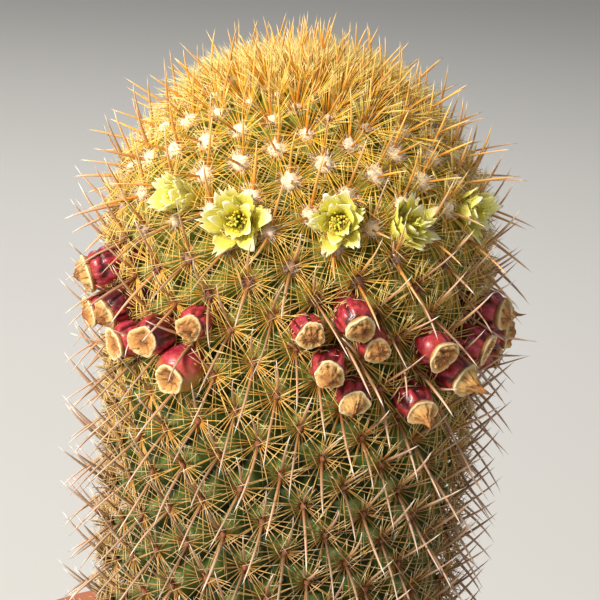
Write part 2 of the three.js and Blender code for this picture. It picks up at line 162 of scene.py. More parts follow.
def lumps(points, size, salt=0):
    """Smooth random relief from -1 to 1: a number at each corner of a grid of cubes, eased between."""
    cell = points / size
    corner = np.floor(cell)
    part = cell - corner
    part = part * part * (3 - 2 * part)
    total = np.zeros(points.shape[:-1])
    for step in np.ndindex(2, 2, 2):
        index = (corner + step) @ np.array([1.0, 57.3, 113.7])
        weight = np.prod(np.where(step, part, 1 - part), axis=-1)
        total += weight * spread(index, salt, 1)
    return total


def unit(vectors):
    """The vectors at length one."""
    return vectors / np.linalg.norm(vectors, axis=-1, keepdims=True)


def turns(count):
    """Bearings spaced evenly round a circle."""
    return np.arange(count) * 2 * np.pi / count


def stacked(*values):
    """Values side by side in a new last axis, each drawn out to the size of the widest."""
    return np.stack(np.broadcast_arrays(*values), -1)


def turned(radius, height, turn):
    """Points at a radius and a height, turned about Z."""
    return stacked(radius * np.cos(turn), radius * np.sin(turn), height)


def level_way(bearing):
    """Level directions at bearings about Z."""
    return turned(1.0, 0.0, bearing)


def eased(value, low, high):
    """0 below low, 1 above high, and an S curve between."""
    share = np.clip((value - low) / (high - low), 0, 1)
    return share * share * (3 - 2 * share)


def bent_curve(at, places, values):
    """A smooth curve through the values: cubics whose slopes are those of the points beside."""
    places, values = np.asarray(places, float), np.asarray(values, float)
    slopes = np.gradient(values, places)
    span = np.clip(np.searchsorted(places, at, side="right") - 1, 0, len(places) - 2)
    width = places[span + 1] - places[span]
    t = np.clip((at - places[span]) / width, 0, 1)
    rise = values[span + 1] - values[span]
    start, end = slopes[span] * width, slopes[span + 1] * width
    square, cube = 3 * rise - 2 * start - end, start + end - 2 * rise
    return values[span] + t * start + t * t * square + t**3 * cube


# Shapes: points in rows, and the faces between them


def shape(points, quads, triangles, marks=None, places=None, finish=0):
    """Points (n, 3), faces as quads and triangles, marks (n, 3) and map places (n, 2) per point."""
    return SimpleNamespace(
        points=points, quads=quads, triangles=triangles, marks=marks, places=places, finish=finish
    )


def joined(shapes):
    """Several shapes as one, each with its own number of finish."""
    starts = np.cumsum([0] + [len(each.points) for each in shapes[:-1]])

    def every(name):
        return np.concatenate([getattr(each, name) for each in shapes])

    return SimpleNamespace(
        points=every("points"),
        quads=np.concatenate([each.quads + at for each, at in zip(shapes, starts)]),
        triangles=np.concatenate([each.triangles + at for each, at in zip(shapes, starts)]),
        marks=None if shapes[0].marks is None else every("marks"),
        places=None if shapes[0].places is None else every("places"),
        finish=np.concatenate(
            [np.full(len(each.quads), each.finish) for each in shapes]
            + [np.full(len(each.triangles), each.finish) for each in shapes]
        ),
    )


def alike(points, quads, triangles, marks=None):
    """Many shapes with the same faces, their points in rows (count, size, 3)."""
    starts = points.shape[1] * np.arange(len(points))[:, None, None]
    quads, triangles = (quads + starts).reshape(-1, 4), (triangles + starts).reshape(-1, 3)
    return shape(points.reshape(-1, 3), quads, triangles, marks)


def ring_faces(rows, columns):
    """Faces of a skin over rows of rings that run up, its two ends closed on a middle point."""
    here = np.arange((rows - 1) * columns).reshape(rows - 1, columns)
    right = np.roll(here, -1, axis=1)
    quads = np.stack([here, right, right + columns, here + columns], -1).reshape(-1, 4)
    first = np.arange(columns)
    last = first + (rows - 1) * columns
    low = np.full(columns, rows * columns)
    triangles = [
        np.stack([low, np.roll(first, -1), first], -1),
        np.stack([last, np.roll(last, -1), low + 1], -1),
    ]
    return quads, np.concatenate(triangles)


def wrapped(rings, rising=True, marks=None, finish=0):
    """A closed skin over rings (rows, columns, 3); marks (rows, columns, 3) go with its points."""
    rows, columns = rings.shape[:2]
    quads, triangles = ring_faces(rows, columns)
    if not rising:
        quads, triangles = quads[:, ::-1], triangles[:, ::-1]

    def with_ends(grid):
        return np.concatenate([grid.reshape(-1, 3), grid[0].mean(0)[None], grid[-1].mean(0)[None]])

    marks = None if marks is None else with_ends(marks)
    return shape(with_ends(rings), quads, triangles, marks, None, finish)


def needles(paths, widths, sides, across):
    """Slender tapering bodies along paths (n, stations, 3), with half widths (n, stations).

    Each station but the last has a ring square to the line from the path's start to its end; the
    last station is the tip. across (n, 3) says where the ring's first point lies.
    """
    count, stations = paths.shape[:2]
    along = unit(paths[:, -1] - paths[:, 0])
    first = unit(across - along * np.sum(across * along, -1, keepdims=True))
    second = np.cross(along, first)
    turn = turns(sides)
    rim = first[:, None] * np.cos(turn)[:, None] + second[:, None] * np.sin(turn)[:, None]
    rings = paths[:, :-1, None] + widths[:, :-1, None, None] * rim[:, None]
    points = np.concatenate([rings.reshape(count, -1, 3), paths[:, -1:]], axis=1)
    quads, triangles = ring_faces(stations - 1, sides)
    tip = triangles[sides:].copy()
    tip[:, 2] = points.shape[1] - 1
    fan = np.arange(1, sides - 1)
    base = np.stack([np.zeros_like(fan), fan + 1, fan], -1)
    return alike(points, quads, np.concatenate([tip, base]))


# Spines and wool are coloured by their own map: across it is age, from the crown down, in narrow
# strips, and up it are kinds, with the way from root to tip within each
STRIPS = 96
KINDS = 5
KIND_MARGIN = 0.06


def mapped(made, age, kind, over, along):
    """Gives many equal shapes their map: one strip of age and one kind for each."""
    strip = np.floor(np.clip(age, 0, 0.999) * STRIPS)
    u = (strip[:, None] + over) / STRIPS
    v = (kind[:, None] + KIND_MARGIN + (1 - 2 * KIND_MARGIN) * along) / KINDS
    made.places = stacked(u, v).reshape(-1, 2)
    return made


def with_age(made, age, kind, sides, stations):
    """Gives needles their map."""
    over = np.append(np.tile(np.linspace(0.1, 0.9, sides), stations - 1), 0.5)
    along = np.append(np.repeat(np.linspace(0, 1, stations)[:-1], sides), 1.0)
    return mapped(made, age, kind, over, along)


def add_piece(name, made, finishes, stands_for=()):
    """Puts a shape into a mesh that rides on the root body."""
    mesh = bpy.data.meshes.new(name)
    corners = np.concatenate([made.quads.ravel(), made.triangles.ravel()]).astype(np.int32)
    sizes = np.concatenate([np.full(len(made.quads), 4), np.full(len(made.triangles), 3)])
    mesh.vertices.add(len(made.points))
    mesh.vertices.foreach_set("co", (made.points * MM).ravel().astype(np.float32))
    mesh.loops.add(len(corners))
    mesh.polygons.add(len(sizes))
    mesh.polygons.foreach_set("loop_start", np.append(0, np.cumsum(sizes)[:-1]).astype(np.int32))
    mesh.polygons.foreach_set("vertices", corners)
    mesh.polygons.foreach_set("use_smooth", np.ones(len(sizes), bool))
    finish = np.broadcast_to(made.finish, len(sizes)).astype(np.int32)
    mesh.polygons.foreach_set("material_index", finish)
    mesh.update(calc_edges=True)
    if made.marks is not None:
        marks = mesh.attributes.new("marks", "FLOAT_VECTOR", "POINT")
        marks.data.foreach_set("vector", made.marks.ravel().astype(np.float32))
    if made.places is not None:
        places = mesh.uv_layers.new(name="OFBake")
        places.data.foreach_set("uv", made.places[corners].ravel().astype(np.float32))
    for finish in finishes:
        mesh.materials.append(finish)
    piece = bpy.data.objects.new(name, mesh)
    bpy.context.scene.collection.objects.link(piece)
    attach(piece, "root")
    if stands_for:
        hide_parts(*stands_for)
    return piece


# The stem's lattice


def stem_frames(angle, radius, depth):
    """Places on the areole surface, with the directions out, up to the crown and side, to the right."""
    rise = np.maximum(DOME_DEPTH - depth, 0)
    slope = unit(np.stack([radius / STEM_RADIUS**2, rise / DOME_DEPTH**2], -1))
    across, height = slope[..., :1], slope[..., 1:]
    around = level_way(angle)
    point = around * radius[..., None] + UPWARD * (CROWN - depth)[..., None]
    out = around * across + UPWARD * height
    up = UPWARD * across - around * height
    return SimpleNamespace(
        point=point, out=out, up=up, side=np.cross(up, out), radius=radius, depth=depth
    )


def stem_profile():
    """Radius, depth and way walked from the crown in small steps: a quarter ellipse, then the column."""
    t = np.arange(0, 4.5, 1 / 2000)
    polar = np.minimum(t, 1) * np.pi / 2
    below = np.maximum(t - 1, 0) * STEM_RADIUS
    radius = STEM_RADIUS * np.sin(polar) - STEM_TAPER * below
    depth = DOME_DEPTH * (1 - np.cos(polar)) + below
    walked = np.append(0, np.cumsum(np.hypot(np.diff(radius), np.diff(depth))))
    return radius, depth, walked


def grow_areoles():
    """An areole each time the surface walked over adds up to one tubercle, turned by the golden angle."""
    radius, depth, walked = stem_profile()
    middle = (radius[1:] + radius[:-1]) / 2
    area = TUBERCLE_AREA * (middle / STEM_RADIUS) ** AREA_POWER
    count = 0.5 + np.cumsum(2 * np.pi * middle * np.diff(walked) / area)
    count = count[depth[:-1] < STEM_ABOVE_SOIL - LOWEST_AREOLE_ABOVE_SOIL]
    number = int(count[-1])
    place = np.searchsorted(count, np.arange(1, number + 1)) + 1
    angle = FIRST_ANGLE + np.arange(number) * GOLDEN_ANGLE
    return stem_frames(angle, radius[place], depth[place])


def lift_of(points):
    """How far points stand off the areole surface, about."""
    depth = CROWN - points[..., 2]
    reach = STEM_RADIUS - STEM_TAPER * np.maximum(depth - DOME_DEPTH, 0)
    across = np.hypot(points[..., 0], points[..., 1]) / reach
    return (np.hypot(across, np.maximum(DOME_DEPTH - depth, 0) / DOME_DEPTH) - 1) * reach


def node_mesh(name):
    """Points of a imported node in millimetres, and its triangles."""
    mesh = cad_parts[name].data
    points = np.empty(len(mesh.vertices) * 3)
    mesh.vertices.foreach_get("co", points)
    corners = np.empty(len(mesh.loops), np.int64)
    mesh.loops.foreach_get("vertex_index", corners)
    return points.reshape(-1, 3) / MM, corners.reshape(-1, 3)


def rooted_in(name, axil, depth):
    """A bloom's root, direction and length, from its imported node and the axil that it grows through.

    Its axis runs through the middle of the axil, and its root is the node's point nearest to where
    a bloom square to the stem would start.
    """
    middle = (areoles.point[axil] + areoles.point[axil - AXIL_STEP]) / 2
    out = unit(areoles.out[axil] + areoles.out[axil - AXIL_STEP])
    points, _ = node_mesh(name)
    root = points[np.argmin(np.linalg.norm(points - (middle - out * depth), axis=1))]
    direction = unit(middle - root)
    return SimpleNamespace(
        name=name, axil=axil, root=root, direction=direction, length=np.max((points - root) @ direction)
    )


areoles = grow_areoles()
flowers = [rooted_in(f"flower_{i + 1:02d}", axil, FLOWER_ROOT) for i, axil in enumerate(FLOWER_AXILS)]
berries = [rooted_in(f"berry_{i + 1:02d}", axil, BERRY_ROOT) for i, axil in enumerate(BERRY_AXILS)]
for flower in flowers:
    flower.heights, flower.reach = [0.0, 4.6, 7.0], [0.3, 2.1, 2.3]
for berry in berries:
    berry.plump = berry.axil == PLUMP_BERRY_AXIL
    berry.scale = berry.length / BERRY_LENGTH
    berry.width = berry.scale * (PLUMP_BERRY_WIDTH if berry.plump else 1.0)
    berry.heights = [height * berry.scale for height in (0.0, 4.4, 6.4, 8.2, 9.8)]
    berry.reach = [radius * berry.width for radius in (0.2, 1.9, 2.15, 1.9, 1.4)]


def pushed_aside(paths, margin):
    """Points inside a bloom move straight out from its axis, to its reach and a margin."""
    for bloom in flowers + berries:
        offset = paths - bloom.root
        along = offset @ bloom.direction
        across = offset - along[..., None] * bloom.direction
        gap = np.maximum(np.linalg.norm(across, axis=-1), 1e-6)
        reach = np.interp(along, bloom.heights, bloom.reach) + margin
        inside = (along > 2.5) & (along < bloom.heights[-1] + margin) & (gap < reach)
        moved = paths + across * (reach / gap - 1)[..., None]
        paths = np.where(inside[..., None], moved, paths)
    return paths


# Pieces of the stem


def stem_skin_shape():
    """The stem's skin: the areole surface, let in between the areoles.

    A point that lies d1 from the nearest areole and d2 from the next has q = 2 d1 / (d1 + d2),
    which is 0 at an areole and 1 in the valleys, and lies q to the power of TUBERCLE_ROUNDNESS
    times the tubercle's height below the areoles. Plain rings follow for the neck and the foot.
    """
    radius, depth, walked = stem_profile()
    bottom = np.interp(STEM_ABOVE_SOIL - LOWEST_AREOLE_ABOVE_SOIL + 2.0, depth, walked)
    steps = np.linspace(0, bottom, int(bottom / SKIN_STEP))[1:]
    angle, walk = np.meshgrid(turns(SKIN_COLUMNS), steps)
    smooth = stem_frames(angle, np.interp(walk, walked, radius), np.interp(walk, walked, depth))
    flat = smooth.point.reshape(-1, 3)
    nearest = np.empty((len(flat), 2))
    for at in range(0, len(flat), 8000):
        part = flat[at : at + 8000]
        gaps = np.linalg.norm(part[:, None] - areoles.point[None], axis=2)
        nearest[at : at + 8000] = np.partition(gaps, 1, axis=1)[:, :2]
    q = (2 * nearest[:, 0] / nearest.sum(1)).reshape(walk.shape)
    low = eased(smooth.depth, STEM_ABOVE_SOIL - 6, STEM_ABOVE_SOIL - 2)
    sunk = (1 - low) * q**TUBERCLE_ROUNDNESS + low
    height = TUBERCLE_HEIGHT * (smooth.radius / STEM_RADIUS) ** (AREA_POWER / 2)
    rings = smooth.point - smooth.out * (height * sunk)[..., None]
    rings += smooth.out * (0.12 * lumps(rings, 1.6, 3))[..., None]
    marks = np.stack([1 - q, smooth.depth / STEM_ABOVE_SOIL, lumps(rings, 9.0, 5)], -1)

    around = level_way(angle[0])
    neck = around * NECK_RADIUS + [0, 0, SOIL_TOP + NECK_ABOVE_SOIL]
    foot = around * FOOT_RADIUS + [0, 0, SOIL_TOP - FOOT_BELOW_SOIL]
    shares = np.linspace(0, 1, 5)[1:, None, None]
    to_neck = rings[-1] + (neck - rings[-1]) * shares
    to_foot = neck + (foot - neck) * shares
    rings = np.concatenate([rings, to_neck, to_foot])
    marks = np.concatenate([marks, np.broadcast_to([0.0, 1.0, 0.0], (8, SKIN_COLUMNS, 3))])
    return wrapped(rings, rising=False, marks=marks)


def central_spines_shape():
    """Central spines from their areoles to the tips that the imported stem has, slightly bowed.

    The path is start + t (tip - start) + 4 t (1 - t) bow, and the half width falls from the base
    to the tip with the power 2.1 of the way.
    """
    points, triangles = node_mesh("stem")
    corners = points[triangles]
    is_tip = lift_of(corners) > CENTRAL_LEAST_LIFT
    found = is_tip.sum(1) == 1
    corners, is_tip = corners[found], is_tip[found]
    tips = corners[is_tip]
    bases = (corners.sum(1) - tips) / 2
    owner = np.argmin(np.linalg.norm(bases[:, None] - areoles.point[None], axis=2), axis=1)
    keys = np.column_stack([owner, np.round(tips, 1)])
    _, kept = np.unique(keys, axis=0, return_index=True)
    tips, owner = tips[kept], owner[kept]
    index = np.arange(len(tips))
    start = areoles.point[owner]
    rising = np.sign(np.sum((tips - start) * areoles.up[owner], -1))
    start = start + areoles.up[owner] * (0.25 * rising)[:, None] - areoles.out[owner] * 0.3
    tips = tips + areoles.side[owner] * spread(index, 36, CENTRAL_STRAY)[:, None]
    tips = tips + areoles.up[owner] * spread(index, 37, CENTRAL_STRAY)[:, None]
    t = np.linspace(0, 1, CENTRAL_STATIONS)
    bow = areoles.out[owner] * (CENTRAL_BOW * (0.5 + chance(index, 31)))[:, None]
    bow += areoles.side[owner] * spread(index, 32, CENTRAL_BOW)[:, None]
    paths = start[:, None] + (tips - start)[:, None] * t[:, None]
    paths += bow[:, None] * (4 * t * (1 - t))[:, None] * 0.6
    paths[:, 1:] = pushed_aside(paths[:, 1:], 0.3)
    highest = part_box("stem")[1].z / MM - 0.2
    paths[..., 2] = np.minimum(paths[..., 2], highest)
    stout = CENTRAL_BASE * (0.78 + 0.44 * chance(index, 33))
    grown = eased(areoles.depth[owner], 4.0, 20.0)
    stout = stout * (CENTRAL_CROWN_SHARE + (1 - CENTRAL_CROWN_SHARE) * grown)
    widths = CENTRAL_TIP + (stout - CENTRAL_TIP)[:, None] * (1 - t**2.1)
    made = needles(paths, widths, CENTRAL_SIDES, areoles.side[owner])
    age = areoles.depth[owner] / STEM_ABOVE_SOIL + spread(index, 34, 0.05)
    kind = np.floor(chance(index, 35) * KINDS)
    return with_age(made, age, kind, CENTRAL_SIDES, CENTRAL_STATIONS)


def radial_spines_shape(first, last):
    """Radial spines of the areoles from first to last: a star of fine needles on each, lying back.

    The spine at bearing b leaves along cos(lift) (cos b side + sin b up) + sin(lift) out. The lift
    is steep on the crown, where young areoles hold their spines up, and shallow on the column, and
    the spines that point up stand out more and are shorter than those that point down.
    """
    depth = areoles.depth
    number = np.round(np.interp(depth, RADIAL_DEPTHS, RADIAL_COUNTS)).astype(int)
    before = np.append(0, np.cumsum(number))
    index = np.arange(before[first], before[last])
    owner = np.searchsorted(before, index, side="right") - 1
    bearing = 2 * np.pi * (index - before[owner] + spread(index, 41, 0.45)) / number[owner]
    bearing += 2 * np.pi * chance(owner, 42)
    rising = np.sin(bearing)
    share = eased(depth[owner], 0.5, RADIAL_SETTLED_DEPTH)
    lift = RADIAL_LIFT_CROWN + (RADIAL_LIFT_COLUMN - RADIAL_LIFT_CROWN) * share
    lift = np.radians(lift + spread(index, 43, 9.0) + RADIAL_TILT * rising)[:, None]
    side, up, out = areoles.side[owner], areoles.up[owner], areoles.out[owner]
    level = side * np.cos(bearing)[:, None] + up * rising[:, None]
    direction = level * np.cos(lift) + out * np.sin(lift)
    length = RADIAL_LENGTH * (1 - 0.16 * rising + spread(index, 44, 0.16))
    t = np.array([0, 0.35, 0.7, 1.0])
    start = areoles.point[owner] + level * 0.3 - out * 0.15
    paths = start[:, None] + direction[:, None] * (length[:, None] * t)[..., None]
    paths -= out[:, None] * (0.25 * t * t)[:, None]
    paths += np.cross(out, level)[:, None] * (spread(index, 45, 0.5)[:, None] * t * t)[..., None]
    paths[:, 1:] = pushed_aside(paths[:, 1:], 0.12)
    base = np.interp(depth[owner], RADIAL_DEPTHS, RADIAL_BASES) * (0.8 + 0.4 * chance(index, 46))
    widths = base[:, None] * np.array([1, 0.9, 0.62, 0])
    made = needles(paths, np.maximum(widths, RADIAL_TIP), RADIAL_SIDES, out)
    age = depth[owner] / STEM_ABOVE_SOIL + spread(owner, 47, 0.03)
    kind = np.floor(chance(index, 48) * KINDS)
    return with_age(made, age, kind, RADIAL_SIDES, len(t))


def wooliness(depth):
    """1 on young areoles, falling to 0 where the wool has worn off."""
    return 1 - eased(depth, WOOLLY_DEPTH - 6, WOOLLY_DEPTH + 15)


def grown_share(depth):
    """How far an areole has grown: the youngest, on the crown's middle, are smaller."""
    return 0.6 + 0.4 * eased(depth, 0.5, 8.0)


def areole_pads_shape():
    """A low round cushion on each areole: a dome of rings, lumpy, wider where there is wool."""
    woolly = wooliness(areoles.depth)
    reach = BARE_PAD_RADIUS + (TUFT_RADIUS - BARE_PAD_RADIUS) * woolly
    reach *= grown_share(areoles.depth)
    columns = 9
    turn = turns(columns)[:, None]
    levels = np.array([[0.8, -0.45], [1.0, 0.1], [0.86, 0.42], [0.5, 0.64], [0.2, 0.7]])
    wide, high = levels[:, 0], levels[:, 1]
    rim = areoles.side[:, None] * np.cos(turn) * 0.9 + areoles.up[:, None] * np.sin(turn)
    rings = areoles.point[:, None, None] + rim[:, None] * (reach[:, None] * wide)[:, :, None, None]
    rings = rings + areoles.out[:, None, None] * (reach[:, None] * high)[:, :, None, None]
    ragged = (0.12 + 0.25 * woolly)[:, None, None] * lumps(rings, 0.5, 51)
    rings += (areoles.out[:, None, None] + 0.6 * rim[:, None]) * ragged[..., None]
    count, rows = rings.shape[:2]
    points = np.concatenate(
        [rings.reshape(count, -1, 3), rings[:, 0].mean(1)[:, None], rings[:, -1].mean(1)[:, None]], 1
    )
    over = np.append(np.tile(np.linspace(0.1, 0.9, columns), rows), [0.5, 0.5])
    along = np.append(np.repeat(np.linspace(0.25, 0.75, rows), columns), [0.2, 0.9])
    kind = np.floor(chance(np.arange(count), 52) * KINDS)
    return mapped(alike(points, *ring_faces(rows, columns)), 1 - woolly, kind, over, along)


def wool_fibres_shape():
    """Fine bent hairs that stand out all round each woolly areole as a loose ball."""
    woolly = wooliness(areoles.depth)
    number = int(np.sum(woolly > 0.02))
    owner = np.repeat(np.arange(number), TUFT_FIBRES)
    index = np.arange(len(owner))
    bearing = 2 * np.pi * chance(index, 61)
    lift = np.arcsin(-0.1 + 1.1 * chance(index, 62))[:, None]
    side, up, out = areoles.side[owner], areoles.up[owner], areoles.out[owner]
    level = side * np.cos(bearing)[:, None] + up * np.sin(bearing)[:, None]
    direction = level * np.cos(lift) + out * np.sin(lift)
    growth = (0.45 + 0.55 * woolly[owner]) * grown_share(areoles.depth[owner])
    length = (1.1 + 1.1 * chance(index, 63)) * growth
    t = np.array([0, 0.55, 1.0])
    start = areoles.point[owner] + level * 0.6 * growth[:, None]
    paths = start[:, None] + direction[:, None] * (length[:, None] * t)[..., None]
    curl = np.cross(direction, out + 0.1 * side) * spread(index, 64, 0.6)[:, None]
    curl += direction * 0.15 + level * spread(index, 67, 0.3)[:, None]
    paths += curl[:, None] * (4 * t * (1 - t))[:, None] * 0.7
    widths = np.broadcast_to(np.array([0.09, 0.075, 0.04]), (len(owner), len(t)))
    made = needles(paths, widths, WOOL_SIDES, out + 0.2 * side)
    age = 1 - woolly[owner] + spread(index, 65, 0.06)
    kind = np.floor(chance(index, 66) * KINDS)
    return with_age(made, age, kind, WOOL_SIDES, len(t))


# Flowers and berries, modelled along +Z from their roots


def seated(made, bloom):
    """Turns a shape from +Z to a bloom's direction, the short way, and moves it to its root."""
    turn = Vector((0, 0, 1)).rotation_difference(Vector(bloom.direction)).to_matrix()
    made.points = made.points @ np.array(turn).T + bloom.root
    return made


PETAL_ROWS = 10
PETAL_COLUMNS = 9
PETAL_THICKNESS = 0.16
# Count, radius and height of the root, length, width, lean, bend outwards and turn, in degrees
WHORLS = [
    (5, 1.5, 3.8, 4.6, 2.6, 27, 20, 16),
    (6, 1.25, 4.1, 5.6, 3.2, 24, 24, 0),
    (5, 0.9, 4.3, 5.4, 3.0, 11, 20, 34),
]


def petal_whorl(index, whorl, opening):
    """One whorl of petals, each a thin closed blade on a grid of t, root to tip, and u, edge to edge.

    The middle line leans from the axis by (lean + bend (t - 0.3)) times how far the flower has
    opened. The half width swells to its widest at 0.55 and narrows to the tip, where the end is
    torn: some lines of the grid are cut back far and the rest little, which leaves a few pointed
    lobes. The blade is hollow towards the axis, and its back lies behind its face by a thickness
    that is nothing at the edges.
    """
    count, radius, height, length, width, lean, bend, turn = whorl
    petal = np.arange(count)
    key = petal + 40 * index
    lines = key[:, None] * 9 + np.arange(PETAL_COLUMNS)
    t = np.linspace(0, 1, PETAL_ROWS)[:, None]
    u = np.linspace(-1, 1, PETAL_COLUMNS)
    cut = 0.30 * np.abs(u) ** 1.8 + 0.05 * chance(lines, 72)
    cut = cut + np.where(chance(lines, 79) > 0.62, 0.14 + 0.10 * chance(lines, 83), 0)
    t = t * (1 - cut[:, None] * t**3)
    angle = (lean * opening + spread(key, 73, 8.0))[:, None, None] + bend * opening * (t - 0.3)
    angle = np.radians(angle)
    long = (length * (1 + spread(key, 74, 0.14)))[:, None, None]
    across = radius + long * t * np.sin(angle)
    rise = height + long * t * np.cos(angle)
    half = width / 2 * (0.45 + 0.55 * np.sin(np.pi / 2 * np.minimum(t / 0.55, 1)))
    half = half * (1 - 0.35 * np.maximum((t - 0.5) / 0.5, 0) ** 1.5)
    y = half * u * (1 + spread(key, 75, 0.15))[:, None, None]
    curl = spread(key, 80, 0.28)[:, None, None]
    hollow = y * y / (2 * 2.2) + curl * y * t * t
    hollow = hollow + 0.1 * t**3 * spread(lines, 76, 1)[:, None]
    thick = PETAL_THICKNESS * (1 - u**2) * np.sin(np.pi * np.clip(t, 0.02, 1))
    bearing = np.radians(turn + 360 * petal / count + spread(key, 77, 11.0))[:, None, None]

    def placed(inward):
        radius, height = across - inward * np.cos(angle), rise + inward * np.sin(angle)
        return turned(radius, height, bearing) + turned(y, 0.0, bearing + np.pi / 2)

    face, back = placed(hollow), placed(hollow - thick)
    inner = np.zeros((PETAL_ROWS, PETAL_COLUMNS), bool)
    inner[1:-1, 1:-1] = True
    points = np.concatenate([face.reshape(count, -1, 3), back[:, inner]], 1)
    marks = stacked(np.abs(u), t, chance(key, 78)[:, None, None])
    marks = np.concatenate([marks.reshape(count, -1, 3), marks[:, inner]], 1)
    front = np.arange(PETAL_ROWS * PETAL_COLUMNS).reshape(PETAL_ROWS, PETAL_COLUMNS)
    behind = front.copy()
    behind[inner] = front.size + np.arange(inner.sum())

    def blade(grid):
        corners = grid[:-1, :-1], grid[1:, :-1], grid[1:, 1:], grid[:-1, 1:]
        return np.stack(corners, -1).reshape(-1, 4)

    quads = np.concatenate([blade(front), blade(behind)[:, ::-1]])
    return alike(points, quads, np.empty((0, 3), int), marks.reshape(-1, 3))


def flower_shape(index):
    """A flower: a funnel-shaped tube, whorls of toothed petals, stamens and a lobed stigma."""
    tube = [[0.5, 0.1], [0.95, 1.5], [1.3, 3.0], [1.7, 4.3], [1.6, 4.7], [1.1, 4.5], [0.5, 4.2]]
    radius, height = np.hsplit(np.array(tube), 2)
    rings = turned(radius, height, turns(24))
    parts = [wrapped(rings, marks=np.zeros_like(rings) + [0.0, -0.2, 0.0])]
    for i, whorl in enumerate(WHORLS):
        parts.append(petal_whorl(index * len(WHORLS) + i, whorl, FLOWER_OPENING[index]))

    def threads(out, reach, lengths, t, curve, width, stigma):
        """Needles that rise from the throat, spread by reach and then outwards along a curve."""
        paths = (out * reach[0] + UPWARD * reach[1])[:, None] + UPWARD * (lengths * t)[..., None]
        paths = paths + out[:, None] * curve[..., None]
        made = needles(paths, np.broadcast_to(width, paths.shape[:2]), 4, out + 0.3 * UPWARD)
        made.marks = stacked(0.0, (made.points[:, 2] - 4.4) / 3.4, stigma)
        made.finish = 1
        return made

    stamen = np.arange(STAMENS)
    key = stamen + 50 * index
    reach = 0.25 + 0.95 * np.sqrt(chance(key, 81))[:, None]
    t = np.array([0, 0.5, 0.84, 0.88, 0.96, 1.0])
    lengths = (2.7 + spread(key, 82, 0.5))[:, None]
    out, width = level_way(stamen * GOLDEN_ANGLE), [0.05, 0.05, 0.05, 0.17, 0.17, 0.0]
    parts.append(threads(out, (reach * 0.7, 4.5), lengths, t, reach * 0.5 * t * t, np.array(width), 0.0))
    t = np.array([0, 0.6, 0.85, 0.95, 1.0])
    out, width = level_way(turns(STIGMA_LOBES)), [0.1, 0.1, 0.13, 0.14, 0.0]
    curve = 0.55 * eased(t, 0.75, 1.0)[None]
    parts.append(threads(out, (0.06, 4.4), np.array([[4.4]]), t, curve, np.array(width), 1.0))
    return joined(parts)


BERRY_ROWS = 30
BERRY_COLUMNS = 44


def folds(points, size, salt):
    """Sharp creases: 1 along the lines where smooth random relief is nothing, 0 away from them."""
    return (1 - np.minimum(np.abs(lumps(points, size, salt)) / 0.42, 1)) ** 2


